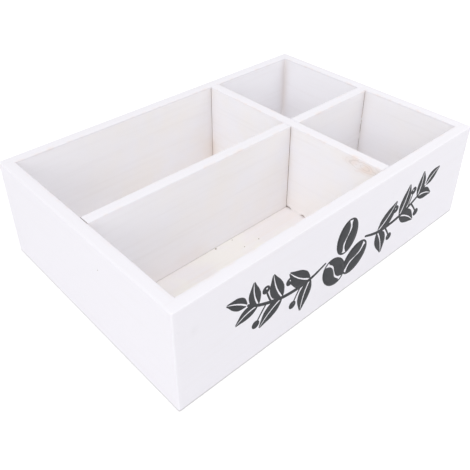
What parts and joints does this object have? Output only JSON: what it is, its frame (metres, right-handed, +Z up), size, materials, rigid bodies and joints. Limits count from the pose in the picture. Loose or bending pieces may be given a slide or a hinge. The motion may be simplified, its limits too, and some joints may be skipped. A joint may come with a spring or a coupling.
{
  "type": "coffee station organizer",
  "caption": "Open painted wooden countertop box with fixed dividers that cross between its walls, for sorting cups, pods, sachets and stirrers.",
  "frame": {"origin": "middle of the footprint, on the surface that the box stands on", "axes": "+X along the front board towards the small bays, +Y from the front board to the back board, +Z up"},
  "size_m": [0.3, 0.204, 0.083],
  "materials": {
    "painted_wall_boards": "white satin emulsion over sanded softwood board",
    "painted_dividers": "white satin emulsion over sanded softwood board",
    "painted_plywood_base": "thin white emulsion on top of plywood, bare underneath",
    "brads": "galvanised flat wire",
    "painted_filler": "fine wood filler, sanded flush and painted with the walls"
  },
  "bodies": {
    "root": {"front_board": "painted_wall_boards", "back_board": "painted_wall_boards", "left_end_board": "painted_wall_boards", "right_end_board": "painted_wall_boards", "cross_divider": "painted_dividers", "long_divider": "painted_dividers", "short_divider": "painted_dividers", "base_panel": "painted_plywood_base", "front_left_corner_brads": "brads", "front_right_corner_brads": "brads", "back_left_corner_brads": "brads", "back_right_corner_brads": "brads", "cross_divider_front_brads": "brads", "cross_divider_back_brads": "brads", "long_divider_end_brads": "brads", "long_divider_inner_brads": "brads", "short_divider_end_brads": "brads", "base_wall_brads": "brads", "base_divider_brads": "brads", "front_fillers": "painted_filler", "back_fillers": "painted_filler", "left_fillers": "painted_filler", "right_fillers": "painted_filler"}
  },
  "joints": []
}
